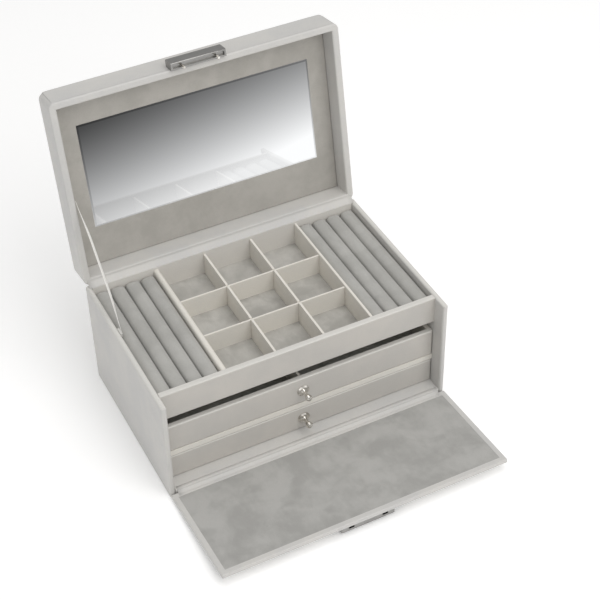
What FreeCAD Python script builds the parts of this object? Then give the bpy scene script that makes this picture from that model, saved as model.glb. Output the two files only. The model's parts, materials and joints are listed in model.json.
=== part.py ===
import FreeCAD, Part
import math
import os
import Sketcher
from FreeCAD import Placement, Rotation, Vector

# A tabletop jewellery case. +X runs to the right as the case is faced, +Y to the back, +Z up, in
# millimetres. The origin is on the table, under the middle of the case. The lid stands open, the
# front flap lies down and the drawers are home.

os.makedirs("parts", exist_ok=True)
doc = FreeCAD.newDocument("JewelleryCase")
sheet = doc.addObject("Spreadsheet::Sheet", "Sizes")

sizes = {
    # case
    "case_width": 280, "case_depth": 178, "case_height": 110.5,
    "wall_thick": 5.2, "wall_round": 2.0, "back_thick": 5.2, "base_thick": 7.4, "shelf_thick": 5.8,
    "front_recess": 15.0, "lower_headroom": 0.9, "upper_headroom": 10.7, "seat_gap": 0.3, "side_gap": 0.6,
    # top tray
    "tray_floor_thick": 3.0, "tray_front_thick": 5.0, "tray_front_drop": 0.6,
    "tray_lining_thick": 0.8, "thick_partition": 5.2, "thin_partition": 2.6, "partition_drop": 2.4,
    "divider_thick": 2.2, "divider_drop": 3.0, "divider_play": 0.1,
    "cross_divider_thick": 1.7, "cross_divider_drop": 1.0,
    "rolls_a_side": 4, "roll_pitch": 15.07, "roll_play": 0.15, "roll_drop": 4.6,
    # drawers
    "lower_drawer_height": 26.0, "upper_drawer_height": 29.4, "drawer_wall": 4.0,
    "drawer_front_thick": 4.6, "drawer_floor_thick": 2.6, "drawer_side_drop": 0.8,
    "drawer_back_gap": 1.5, "drawer_lining_thick": 1.0, "drawer_divider_thick": 2.4,
    "drawer_divider_drop": 2.5, "front_round": 1.2,
    # knobs
    "rosette_radius": 5.9, "rosette_thick": 1.5, "neck_radius": 1.7, "neck_length": 6.2,
    "ball_radius": 3.3, "knob_screw_radius": 1.5, "screw_head_radius": 3.0, "screw_head_thick": 1.4,
    # flap
    "flap_thick": 4.4, "flap_gap": 0.2, "flap_floor_gap": 0.1, "flap_trim": 5.2, "flap_lining_thick": 1.0,
    "flap_hinge_spread": 190, "flap_knuckle_radius": 2.0, "flap_knuckle_length": 12.0,
    "flap_pin_radius": 0.8, "flap_pin_length": 26.0, "flap_leaf_thick": 0.9, "flap_leaf_depth": 10.0,
    "hinge_play": 0.05, "knuckle_play": 0.35,
    # lid
    "lid_height": 30.4, "lid_wall": 6.8, "lid_top_thick": 3.6, "lid_corner_round": 6.0,
    "lid_edge_round": 3.2, "lid_rim_round": 1.6, "lid_gap": 0.3, "lid_open_angle": 100.2,
    "lid_pad_inset": 3.4, "lid_pad_thick": 1.2, "lid_pad_round": 1.0,
    "lining_panel_thick": 6.4, "lining_panel_gap": 0.2,
    "mirror_side_margin": 19.2, "mirror_hinge_margin": 38.2, "mirror_far_margin": 28.8,
    "mirror_thick": 1.8, "mirror_proud": 0.5, "mirror_bevel": 0.4, "glue_line": 0.02,
    # lid hinges
    "lid_hinge_spread": 170, "lid_leaf_width": 36, "lid_leaf_height": 13, "lid_leaf_thick": 0.9,
    "lid_knuckle_radius": 2.0, "lid_pin_radius": 0.9, "leaf_screw_radius": 1.7, "leaf_screw_thick": 0.6,
    # lock
    "lock_width": 53, "lock_proud": 7.0, "lock_height": 23.0, "lock_drop": 3.0, "lock_round": 1.6,
    "backplate_thick": 1.2, "backplate_margin": 2.2, "backplate_round": 3.0,
    "slot_spread": 33, "slot_width": 5.4, "slot_opening": 2.9, "slot_reach": 8.6, "slot_from_flap": 3.4,
    "cylinder_radius": 2.9, "cylinder_length": 4.2, "cylinder_play": 0.05, "cylinder_sunk": 0.25,
    "keyhole_width": 0.8, "keyhole_height": 3.0, "keyhole_depth": 2.6,
    "latch_width": 42, "latch_height": 4.0, "latch_thick": 1.4, "latch_travel": 3.6, "latch_from_top": 4.0,
    "latch_play": 0.25,
    "strike_height": 13.3, "strike_below_rim": 3.0, "strike_round": 0.8, "channel_wall": 1.6,
    "strike_relief": 0.15, "channel_depth": 2.2, "stud_radius": 1.1, "stud_reach": 7.0,
    "stud_neck_radius": 0.7,
    # handle
    "handle_span": 146, "handle_rise": 34, "handle_width": 16, "handle_thick": 5.0, "handle_end_thick": 3.2,
    "handle_loop_radius": 3.4, "handle_pin_radius": 1.5, "handle_pin_height": 4.8, "handle_forward": 4.0,
    "bracket_width": 6.4, "bracket_thick": 1.6, "bracket_foot_thick": 1.2, "bracket_foot_length": 14,
    "bracket_play": 0.4,
    # stay ribbon
    "ribbon_width": 5.0, "ribbon_thick": 0.5, "ribbon_case_reach": 70, "ribbon_lid_reach": 85.5,
    "ribbon_case_drop": 4.0, "ribbon_lid_depth": 3.0, "clip_thick": 2.0, "clip_width": 9.0,
    "clip_drop": 0.5,
}
for row, (name, size) in enumerate(sizes.items(), start=1):
    sheet.set("A%d" % row, name)
    sheet.set("B%d" % row, str(size))
    sheet.setAlias("B%d" % row, name)
doc.recompute()


def formula(text):
    """An expression with every size name looked up in the sheet."""
    words = sorted(set(w for w in text.replace("(", " ").replace(")", " ").split() if w in known),
                   key=len, reverse=True)
    out = []
    for word in text.replace("(", " ( ").replace(")", " ) ").split():
        out.append(known[word] if word in words else word)
    return " ".join(out)


known = {name: "Sizes." + name for name in sizes}


def value(text):
    """What such an expression comes to, in plain millimetres or degrees."""
    found = sheet.evalExpression(formula(text))
    return float(getattr(found, "Value", found))


# Places that several sub-parts share, each worked out from the sheet.
known.update({name: "( " + formula(text) + " )" for name, text in {
    "front_plane": "( 0 - case_depth / 2 )",
    "back_plane": "( case_depth / 2 )",
    "inside_half": "( case_width / 2 - wall_thick )",
    "tray_back": "( case_depth / 2 - back_thick )",
    "lower_drawer_floor": "( base_thick + seat_gap )",
}.items()})
known["shelf_base"] = formula("( lower_drawer_floor + lower_drawer_height + lower_headroom )")
known["upper_drawer_floor"] = formula("( shelf_base + shelf_thick + seat_gap )")
known["tray_base"] = formula("( upper_drawer_floor + upper_drawer_height + upper_headroom )")
known["tray_top"] = formula("( tray_base + tray_floor_thick )")
known["tray_start"] = formula("( front_plane + front_recess + tray_front_thick )")
known["drawer_start"] = formula("( front_plane + front_recess )")
known["flap_axis_y"] = formula("( front_plane - flap_gap - flap_thick / 2 )")
known["flap_axis_z"] = formula("( flap_floor_gap + flap_thick / 2 )")
known["flap_length"] = formula("( case_height - flap_axis_z )")
known["lid_axis_z"] = formula("( case_height + lid_gap / 2 )")
known["lid_depth"] = formula("( case_depth + flap_gap + flap_thick )")
known["grid_left"] = formula("( 0 - inside_half + rolls_a_side * roll_pitch + thick_partition )")
known["grid_right"] = formula("( inside_half - rolls_a_side * roll_pitch - thin_partition )")
known["panel_face"] = formula("( lid_height - lid_top_thick - lining_panel_thick )")
known["lock_top"] = formula("( flap_length - lock_drop )")
known["lock_middle"] = formula("( lock_top - lock_height / 2 )")

sub_parts = []


def keep(obj, label):
    """Registers an object as a sub-part under its own label."""
    obj.Label = label
    sub_parts.append(obj)
    return obj


def block(name, x, y, z, across, deep, high):
    """A box with its lowest corner and its three sides given as expressions."""
    box = doc.addObject("Part::Box", name)
    for prop, text in (("Length", across), ("Width", deep), ("Height", high),
                       ("Placement.Base.x", x), ("Placement.Base.y", y), ("Placement.Base.z", z)):
        box.setExpression(prop, formula(text))
    return box


turns = {"x": Rotation(Vector(0, 1, 0), 90), "y": Rotation(Vector(1, 0, 0), -90), "z": Rotation()}


def rod(name, axis, x, y, z, radius, length):
    """A cylinder that starts at a point and runs along +x, +y or +z."""
    cylinder = doc.addObject("Part::Cylinder", name)
    cylinder.Placement = Placement(Vector(), turns[axis])
    for prop, text in (("Radius", radius), ("Height", length),
                       ("Placement.Base.x", x), ("Placement.Base.y", y), ("Placement.Base.z", z)):
        cylinder.setExpression(prop, formula(text))
    return cylinder


def joined(name, *shapes):
    fuse = doc.addObject("Part::MultiFuse", name)
    fuse.Shapes = list(shapes)
    fuse.Refine = True
    return fuse


def less(name, base, *tools):
    """base with every tool taken out of it."""
    cut = doc.addObject("Part::Cut", name)
    cut.Base = base
    cut.Tool = tools[0] if len(tools) == 1 else joined(name + "_tools", *tools)
    return cut


def group(name, *shapes):
    """Separate solids that are one sub-part."""
    together = doc.addObject("Part::Compound", name)
    together.Links = list(shapes)
    return together


def rounded(name, base, radius, wanted):
    """base with a fillet on each edge whose middle and direction pass the test."""
    doc.recompute()
    chosen = []
    for number, edge in enumerate(base.Shape.Edges, start=1):
        middle = edge.valueAt((edge.FirstParameter + edge.LastParameter) / 2)
        along = edge.tangentAt((edge.FirstParameter + edge.LastParameter) / 2)
        if wanted(middle, along):
            chosen.append((number, value(radius), value(radius)))
    fillet = doc.addObject("Part::Fillet", name)
    fillet.Base = base
    fillet.Edges = chosen
    return fillet


def outline(body, name, role, corners):
    """A closed sketch of straight sides whose corners are expressions, on one of the body's planes."""
    sketch = body.newObject("Sketcher::SketchObject", name)
    plane = [p for p in body.Origin.OriginFeatures if p.Role == role][0]
    sketch.AttachmentSupport = [(plane, "")]
    sketch.MapMode = "FlatFace"
    spots = [Vector(value(a), value(b), 0) for a, b in corners]
    last = len(spots) - 1
    for i, spot in enumerate(spots):
        sketch.addGeometry(Part.LineSegment(spot, spots[0 if i == last else i + 1]), False)
    for i in range(len(spots)):
        sketch.addConstraint(Sketcher.Constraint("Coincident", i, 2, 0 if i == last else i + 1, 1))
    for i, corner in enumerate(corners):
        for kind, text, number in (("DistanceX", corner[0], spots[i].x),
                                   ("DistanceY", corner[1], spots[i].y)):
            index = sketch.addConstraint(Sketcher.Constraint(kind, -1, 1, i, 1, number))
            sketch.setExpression("Constraints[%d]" % index, formula(text))
    return sketch


def padded_body(label, role, corners, length, midplane=False):
    """A PartDesign body padded from one outline."""
    body = doc.addObject("PartDesign::Body", label)
    sketch = outline(body, label + "_outline", role, corners)
    pad = body.newObject("PartDesign::Pad", label + "_pad")
    pad.Profile = sketch
    pad.setExpression("Length", formula(length))
    pad.SideType = "Symmetric" if midplane else "One side"
    body.Tip = pad
    return body


def turned_body(label, corners):
    """A PartDesign body turned about its own Z axis from one outline."""
    body = doc.addObject("PartDesign::Body", label)
    sketch = outline(body, label + "_outline", "XZ_Plane", corners)
    turn = body.newObject("PartDesign::Revolution", label + "_turn")
    turn.Profile = sketch
    turn.ReferenceAxis = (sketch, ["V_Axis"])
    turn.Angle = 360
    body.Tip = turn
    return body


def upright(middle, along):
    return abs(along.z) > 0.99


# ---- walls, base, back and shelves ----

def side_wall(label, side):
    x = "0 - case_width / 2" if side < 0 else "case_width / 2 - wall_thick"
    board = block(label + "_board", x, "front_plane", "0", "wall_thick", "case_depth", "case_height")
    outer_x = side * value("case_width") / 2
    top = value("case_height")
    front, back = value("front_plane"), value("back_plane")

    def shown(middle, along):
        on_top = abs(middle.z - top) < 0.01
        at_front = abs(middle.y - front) < 0.01 and upright(middle, along)
        at_back = abs(middle.y - back) < 0.01 and upright(middle, along) and abs(middle.x - outer_x) < 0.01
        return (on_top and abs(along.y) > 0.99) or at_front or at_back

    keep(rounded(label, board, "wall_round", shown), label)


side_wall("left_wall", -1)
side_wall("right_wall", 1)


def flap_hinge_places():
    return ("0 - flap_hinge_spread / 2", "0", "flap_hinge_spread / 2")


def base_board():
    board = block("base_blank", "0 - inside_half", "front_plane", "0", "2 * inside_half",
                  "case_depth - back_thick", "base_thick")
    slots = [block("base_leaf_slot_%d" % i, x + " - flap_knuckle_length / 2", "front_plane - 1",
                   "flap_axis_z - flap_leaf_thick / 2", "flap_knuckle_length", "flap_leaf_depth + 1",
                   "flap_leaf_thick")
             for i, x in enumerate(flap_hinge_places())]
    keep(less("base_board", board, *slots), "base_board")


def lid_hinge_places():
    return ("0 - lid_hinge_spread / 2", "lid_hinge_spread / 2")


def back_panel():
    panel = block("back_blank", "0 - inside_half", "tray_back", "0", "2 * inside_half", "back_thick",
                  "case_height")
    notches = [block("back_notch_%d" % i, x + " - lid_leaf_width / 2 - knuckle_play",
                     "back_plane - lid_knuckle_radius - knuckle_play",
                     "lid_axis_z - lid_knuckle_radius - knuckle_play", "lid_leaf_width + 2 * knuckle_play",
                     "lid_knuckle_radius * 2", "lid_knuckle_radius * 2")
               for i, x in enumerate(lid_hinge_places())]
    keep(less("back_panel", panel, *notches), "back_panel")


base_board()
back_panel()
keep(block("drawer_shelf", "0 - inside_half", "drawer_start", "shelf_base", "2 * inside_half",
           "tray_back - drawer_start", "shelf_thick"), "drawer_shelf")
keep(block("tray_floor", "0 - inside_half", "tray_start", "tray_base", "2 * inside_half",
           "tray_back - tray_start", "tray_floor_thick"), "tray_floor")


# ---- top tray ----

def tray_front():
    panel = block("tray_front_board", "0 - inside_half", "drawer_start", "tray_base", "2 * inside_half",
                  "tray_front_thick", "case_height - tray_front_drop - tray_base")
    front = value("drawer_start")
    keep(rounded("tray_front", panel, "front_round",
                 lambda middle, along: abs(middle.y - front) < 0.01 and abs(along.x) > 0.99), "tray_front")


def partition(label, x, thick, fraction):
    """An upright board between the ring rolls and the grid, its top edges rounded."""
    board = block(label + "_board", x, "tray_start", "tray_top", thick, "tray_back - tray_start",
                  "case_height - partition_drop - tray_top")
    top = value("case_height - partition_drop")
    keep(rounded(label, board, thick + " * " + fraction,
                 lambda middle, along: abs(middle.z - top) < 0.01 and abs(along.y) > 0.99), label)


tray_front()
partition("left_partition", "grid_left - thick_partition", "thick_partition", "0.42")
partition("right_partition", "grid_right", "thin_partition", "0.3")
keep(block("tray_lining", "grid_left", "tray_start", "tray_top", "grid_right - grid_left",
           "tray_back - tray_start", "tray_lining_thick"), "tray_lining")

known["grid_floor"] = formula("( tray_top + tray_lining_thick )")
known["divider_height"] = formula("( case_height - divider_drop - grid_floor )")
known["column_width"] = formula("( ( grid_right - grid_left - 2 * divider_thick ) / 3 )")
known["row_depth"] = formula("( ( tray_back - tray_start - 2 * cross_divider_thick ) / 3 )")


def divider_x(number):
    return "grid_left + %d * column_width + %d * divider_thick" % (number, number - 1)


def divider_y(number):
    return "tray_start + %d * row_depth + %d * cross_divider_thick" % (number, number - 1)


def long_divider(label, number):
    """Runs front to back, slotted from above where the two cross dividers drop in."""
    board = block(label + "_board", divider_x(number), "tray_start", "grid_floor", "divider_thick",
                  "tray_back - tray_start", "divider_height")
    slots = [block("%s_slot_%d" % (label, n), divider_x(number) + " - 1", divider_y(n) + " - divider_play",
                   "grid_floor + divider_height / 2 - divider_play", "divider_thick + 2",
                   "cross_divider_thick + 2 * divider_play", "divider_height")
             for n in (1, 2)]
    keep(less(label, board, *slots), label)


def cross_divider(label, number):
    """Runs left to right, slotted from below."""
    board = block(label + "_board", "grid_left", divider_y(number), "grid_floor", "grid_right - grid_left",
                  "cross_divider_thick", "divider_height - cross_divider_drop")
    slots = [block("%s_slot_%d" % (label, n), divider_x(n) + " - divider_play", divider_y(number) + " - 1",
                   "grid_floor - 1", "divider_thick + 2 * divider_play", "cross_divider_thick + 2",
                   "divider_height / 2 + 1")
             for n in (1, 2)]
    keep(less(label, board, *slots), label)


long_divider("left_long_divider", 1)
long_divider("right_long_divider", 2)
cross_divider("front_cross_divider", 1)
cross_divider("back_cross_divider", 2)


def ring_roll(label, x):
    """A straight-sided pad with a half-round top."""
    wide = "roll_pitch - 2 * roll_play"
    radius = "( roll_pitch / 2 - roll_play )"
    start, length = "tray_start + seat_gap", "tray_back - tray_start - 2 * seat_gap"
    side = block(label + "_side", x + " + roll_play", start, "tray_top + seat_gap / 2", wide, length,
                 "case_height - roll_drop - tray_top - seat_gap / 2 - " + radius)
    crown = rod(label + "_crown", "y", x + " + roll_pitch / 2", start,
                "case_height - roll_drop - " + radius, radius, length)
    keep(joined(label, side, crown), label)


for n in range(sizes["rolls_a_side"]):
    ring_roll("left_ring_roll_%d" % (n + 1), "0 - inside_half + %d * roll_pitch" % n)
    ring_roll("right_ring_roll_%d" % (n + 1), "inside_half - %d * roll_pitch" % (n + 1))


# ---- drawers ----

def drawer(label, floor, height, divided):
    half = "( inside_half - side_gap )"
    depth = "( tray_back - drawer_back_gap - drawer_start )"
    front_board = block(label + "_front_board", "0 - " + half, "drawer_start", floor, "2 * " + half,
                        "drawer_front_thick", height)
    face = value("drawer_start")
    front = rounded(label + "_front_rounded", front_board, "front_round",
                    lambda middle, along: abs(middle.y - face) < 0.01)
    behind = "drawer_start + drawer_front_thick"
    middle_z = floor + " + " + height + " / 2"
    hole = rod(label + "_screw_hole", "y", "0", "drawer_start - 1", middle_z,
               "knob_screw_radius + hinge_play", "drawer_front_thick + 2")
    seat = rod(label + "_head_seat", "y", "0", behind + " - screw_head_thick - hinge_play", middle_z,
               "screw_head_radius + hinge_play", "screw_head_thick + 1")
    keep(less(label + "_front", front, hole, seat), label + "_front")

    outer = block(label + "_outer", "0 - " + half, behind, floor, "2 * " + half,
                  depth + " - drawer_front_thick", height + " - drawer_side_drop")
    inner = block(label + "_inner", "0 - " + half + " + drawer_wall", behind + " - 1",
                  floor + " + drawer_floor_thick", "2 * " + half + " - 2 * drawer_wall",
                  depth + " - drawer_front_thick - drawer_wall + 1", height)
    keep(less(label + "_tray", outer, inner), label + "_tray")
    keep(block(label + "_lining", "0 - " + half + " + drawer_wall", behind, floor + " + drawer_floor_thick",
               "2 * " + half + " - 2 * drawer_wall", depth + " - drawer_front_thick - drawer_wall",
               "drawer_lining_thick"), label + "_lining")
    if divided:
        deck = floor + " + drawer_floor_thick + drawer_lining_thick"
        keep(block(label + "_divider", "0 - drawer_divider_thick / 2", behind, deck,
                   "drawer_divider_thick", depth + " - drawer_front_thick - drawer_wall",
                   height + " - drawer_floor_thick - drawer_lining_thick - drawer_divider_drop"),
             label + "_divider")

    # The knob is turned about its own Z axis, then laid down to point at -Y.
    knob = turned_body(label + "_knob", [
        ("0", "0"), ("rosette_radius", "0"), ("rosette_radius", "rosette_thick * 0.5"),
        ("rosette_radius * 0.72", "rosette_thick"), ("neck_radius * 1.5", "rosette_thick * 1.15"),
        ("neck_radius", "rosette_thick + neck_radius"),
        ("neck_radius", "rosette_thick + neck_length - ball_radius * 0.3"),
        ("ball_radius * 0.72", "rosette_thick + neck_length + ball_radius * 0.3"),
        ("ball_radius", "rosette_thick + neck_length + ball_radius"),
        ("ball_radius * 0.78", "rosette_thick + neck_length + ball_radius * 1.6"),
        ("ball_radius * 0.3", "rosette_thick + neck_length + ball_radius * 1.9"),
        ("0", "rosette_thick + neck_length + ball_radius * 1.92")])
    knob.Placement = Placement(Vector(0, value("drawer_start"), value(middle_z)),
                               Rotation(Vector(1, 0, 0), 90))
    keep(knob, label + "_knob")

    # Its screw comes from inside the drawer, with the head sunk flush in the front's inner face.
    shank = rod(label + "_shank", "y", "0", "drawer_start", middle_z, "knob_screw_radius",
                "drawer_front_thick - screw_head_thick / 2")
    head = rod(label + "_head", "y", "0", behind + " - screw_head_thick", middle_z, "screw_head_radius",
               "screw_head_thick")
    slot = block(label + "_head_slot", "0 - screw_head_radius", behind + " - screw_head_thick / 2",
                 middle_z + " - keyhole_width / 2", "2 * screw_head_radius", "screw_head_thick",
                 "keyhole_width")
    keep(less(label + "_knob_screw", joined(label + "_screw_blank", shank, head), slot),
         label + "_knob_screw")


drawer("lower_drawer", "lower_drawer_floor", "lower_drawer_height", False)
drawer("upper_drawer", "upper_drawer_floor", "upper_drawer_height", True)


# ---- front flap, made lying flat with its hinge axis at the origin ----

def floor_slope():
    """The angle at which the lock under the free end holds the flap off the table."""
    reach = value("lock_top - lock_height")
    depth = value("flap_thick / 2 + lock_proud")
    drop = value("flap_floor_gap - flap_axis_z")
    return math.degrees(math.atan2(depth, reach) + math.asin(drop / math.hypot(reach, depth)))


flap_place = Placement(Vector(0, value("flap_axis_y"), value("flap_axis_z")),
                       Rotation(Vector(1, 0, 0), -floor_slope()))


def on_flap(obj, label):
    obj.Placement = flap_place.multiply(obj.Placement)
    return keep(obj, label)


def flap_board():
    board = block("flap_blank", "0 - case_width / 2", "0 - flap_length", "0 - flap_thick / 2", "case_width",
                  "flap_length", "flap_thick")
    end = rod("flap_round_end", "x", "0 - case_width / 2", "0", "0", "flap_thick / 2", "case_width")
    free_edge = value("0 - flap_length")
    side = value("case_width / 2")

    def outer_rim(middle, along):
        at_edge = abs(middle.y - free_edge) < 0.01
        at_side = abs(abs(middle.x) - side) < 0.01 and abs(along.y) > 0.99
        return at_edge or at_side

    soft = rounded("flap_rounded", joined("flap_whole", board, end), "wall_round * 0.6", outer_rim)
    recess = block("flap_recess", "0 - case_width / 2 + flap_trim", "0 - flap_length + flap_trim",
                   "flap_thick / 2 - flap_lining_thick", "case_width - 2 * flap_trim",
                   "flap_length - flap_trim - flap_thick", "flap_thick")
    tools = [recess]
    for i, x in enumerate(flap_hinge_places()):
        tools.append(block("flap_window_%d" % i, x + " - flap_knuckle_length / 2 - knuckle_play",
                           "0 - flap_knuckle_radius - knuckle_play * 2", "0 - flap_thick",
                           "flap_knuckle_length + 2 * knuckle_play", "flap_thick * 2", "flap_thick * 2"))
        tools.append(rod("flap_pin_bore_%d" % i, "x", x + " - flap_pin_length / 2 - knuckle_play", "0", "0",
                         "flap_pin_radius + hinge_play", "flap_pin_length + 2 * knuckle_play"))
    on_flap(less("flap_board", soft, *tools), "flap_board")
    lining = block("flap_lining_sheet", "0 - case_width / 2 + flap_trim", "0 - flap_length + flap_trim",
                   "flap_thick / 2 - flap_lining_thick + glue_line", "case_width - 2 * flap_trim",
                   "flap_length - flap_trim - flap_thick", "flap_lining_thick - 2 * glue_line")
    on_flap(group("flap_lining", lining), "flap_lining")


def flap_hinges():
    """Three knuckles let into the base board, each with a pin that the flap turns on."""
    knuckles, pins = [], []
    for i, x in enumerate(flap_hinge_places()):
        barrel = rod("flap_barrel_%d" % i, "x", x + " - flap_knuckle_length / 2", "flap_axis_y",
                     "flap_axis_z", "flap_knuckle_radius", "flap_knuckle_length")
        leaf = block("flap_leaf_%d" % i, x + " - flap_knuckle_length / 2", "flap_axis_y",
                     "flap_axis_z - flap_leaf_thick / 2", "flap_knuckle_length",
                     "front_plane + flap_leaf_depth - flap_axis_y", "flap_leaf_thick")
        bore = rod("flap_barrel_bore_%d" % i, "x", x + " - flap_knuckle_length", "flap_axis_y",
                   "flap_axis_z", "flap_pin_radius + hinge_play", "flap_knuckle_length * 2")
        knuckles.append(less("flap_knuckle_%d" % i, joined("flap_strap_%d" % i, barrel, leaf), bore))
        pins.append(rod("flap_pin_%d" % i, "x", x + " - flap_pin_length / 2", "flap_axis_y",
                        "flap_axis_z", "flap_pin_radius", "flap_pin_length"))
    keep(group("flap_hinge_knuckles", *knuckles), "flap_hinge_knuckles")
    keep(group("flap_hinge_pins", *pins), "flap_hinge_pins")


flap_board()
flap_hinges()


# ---- lock, on the outside of the flap ----

known["lock_face"] = formula("( 0 - flap_thick / 2 - lock_proud )")
known["slot_line"] = formula("( 0 - flap_thick / 2 - slot_from_flap )")
known["latch_start"] = formula("( 0 - lock_top + latch_from_top )")


def lock_backplate():
    plate = block("backplate_blank", "0 - lock_width / 2 - backplate_margin", "0 - lock_top",
                  "0 - flap_thick / 2 - backplate_thick", "lock_width + 2 * backplate_margin",
                  "lock_height + backplate_margin", "backplate_thick")
    on_flap(rounded("lock_backplate", plate, "backplate_round", upright), "lock_backplate")


def slot_places():
    return ("0 - slot_spread / 2", "slot_spread / 2")


def lock_housing():
    shell = block("lock_blank", "0 - lock_width / 2", "0 - lock_top", "lock_face", "lock_width",
                  "lock_height", "lock_proud - backplate_thick")
    soft = rounded("lock_rounded", shell, "lock_round", upright)
    tools = [
        rod("cylinder_bore", "z", "0", "0 - lock_middle", "lock_face - 1", "cylinder_radius + cylinder_play",
            "cylinder_length + cylinder_sunk + 1 + latch_play"),
        block("latch_channel", "0 - latch_width / 2 - latch_play", "latch_start - latch_play",
              "slot_line - latch_height / 2 - latch_play",
              "latch_width + latch_travel + 2 * latch_play", "latch_thick + 2 * latch_play",
              "latch_height + 2 * latch_play")]
    for i, x in enumerate(slot_places()):
        tools.append(block("stud_slot_%d" % i, x + " - slot_width / 2", "0 - lock_top - 1",
                           "slot_line - slot_opening / 2", "slot_width", "slot_reach + 1", "slot_opening"))
    on_flap(less("lock_housing", soft, *tools), "lock_housing")


def lock_latch():
    """A plate with two key-shaped holes that slides across the studs."""
    plate = block("latch_blank", "0 - latch_width / 2", "latch_start", "slot_line - latch_height / 2",
                  "latch_width", "latch_thick", "latch_height")
    tools = []
    for i, x in enumerate(slot_places()):
        tools.append(rod("latch_eye_%d" % i, "y", x, "latch_start - 1", "slot_line",
                         "stud_radius + latch_play * 2", "latch_thick + 2"))
        tools.append(block("latch_catch_%d" % i, x + " - latch_travel", "latch_start - 1",
                           "slot_line - stud_neck_radius - latch_play / 2", "latch_travel",
                           "latch_thick + 2", "2 * stud_neck_radius + latch_play"))
    on_flap(less("lock_latch", plate, *tools), "lock_latch")


def lock_cylinder():
    plug = rod("cylinder_plug", "z", "0", "0 - lock_middle", "lock_face + cylinder_sunk", "cylinder_radius",
               "cylinder_length")
    keyway = block("keyway", "0 - keyhole_width / 2", "0 - lock_middle - keyhole_height / 2",
                   "lock_face - 1", "keyhole_width", "keyhole_height", "keyhole_depth + 1")
    keyeye = rod("key_eye", "z", "0", "0 - lock_middle", "lock_face - 1", "keyhole_width",
                 "keyhole_depth + 1")
    on_flap(less("lock_cylinder", plug, keyway, keyeye), "lock_cylinder")


lock_backplate()
lock_housing()
lock_latch()
lock_cylinder()


# ---- lid, made closed with its hinge axis at the origin ----

known["rim"] = formula("( lid_gap / 2 )")
known["lid_top"] = formula("( rim + lid_height )")
lid_place = Placement(Vector(0, value("back_plane"), value("lid_axis_z")),
                      Rotation(Vector(1, 0, 0), 0 - value("lid_open_angle")))


def on_lid(obj, label):
    obj.Placement = lid_place.multiply(obj.Placement)
    return keep(obj, label)


def lid_shell():
    outer = block("lid_blank", "0 - case_width / 2", "0 - lid_depth", "rim", "case_width", "lid_depth",
                  "lid_height")
    top = value("lid_top")
    corners = rounded("lid_corners", outer, "lid_corner_round", upright)
    soft = rounded("lid_soft", corners, "lid_edge_round", lambda middle, along: abs(middle.z - top) < 0.01)
    hollow = block("lid_hollow", "0 - case_width / 2 + lid_wall", "0 - lid_depth + lid_wall", "rim - 1",
                   "case_width - 2 * lid_wall", "lid_depth - 2 * lid_wall",
                   "lid_height - lid_top_thick + 1")
    rim = value("rim")
    opened = rounded("lid_rimmed", less("lid_opened", soft, hollow), "lid_rim_round",
                     lambda middle, along: abs(middle.z - rim) < 0.01)
    notches = [block("lid_notch_%d" % i, x + " - lid_leaf_width / 2 - knuckle_play",
                     "0 - lid_knuckle_radius - knuckle_play", "0 - lid_knuckle_radius",
                     "lid_leaf_width + 2 * knuckle_play", "lid_knuckle_radius * 2",
                     "lid_knuckle_radius * 2 + knuckle_play")
               for i, x in enumerate(lid_hinge_places())]
    on_lid(less("lid_shell", opened, *notches), "lid_shell")


def lid_top_pad():
    pad = block("lid_pad_blank", "0 - case_width / 2 + lid_pad_inset", "0 - lid_depth + lid_pad_inset",
                "lid_top + glue_line", "case_width - 2 * lid_pad_inset", "lid_depth - 2 * lid_pad_inset",
                "lid_pad_thick")
    top = value("lid_top + glue_line + lid_pad_thick")
    on_lid(rounded("lid_top_pad", pad, "lid_pad_round",
                   lambda middle, along: abs(middle.z - top) < 0.01), "lid_top_pad")


known["mirror_width"] = formula("( case_width - 2 * lid_wall - 2 * mirror_side_margin )")
known["mirror_height"] = formula("( lid_depth - 2 * lid_wall - mirror_hinge_margin - mirror_far_margin )")
known["mirror_far"] = formula("( lid_wall + mirror_hinge_margin + mirror_height )")


def lid_lining():
    panel = block("lining_blank", "0 - case_width / 2 + lid_wall + lining_panel_gap",
                  "0 - lid_depth + lid_wall + lining_panel_gap", "rim + panel_face",
                  "case_width - 2 * lid_wall - 2 * lining_panel_gap",
                  "lid_depth - 2 * lid_wall - 2 * lining_panel_gap", "lining_panel_thick - glue_line")
    pocket = block("mirror_pocket", "0 - mirror_width / 2 - glue_line",
                   "0 - mirror_far - glue_line", "rim + panel_face - mirror_proud",
                   "mirror_width + 2 * glue_line", "mirror_height + 2 * glue_line", "mirror_thick")
    on_lid(less("lid_lining_panel", panel, pocket), "lid_lining_panel")
    glass = block("mirror_blank", "0 - mirror_width / 2", "0 - mirror_far",
                  "rim + panel_face - mirror_proud - glue_line", "mirror_width", "mirror_height",
                  "mirror_thick")
    face = value("rim + panel_face - mirror_proud - glue_line")
    on_lid(rounded("lid_mirror", glass, "mirror_bevel", lambda middle, along: abs(middle.z - face) < 0.01),
           "lid_mirror")


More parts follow.
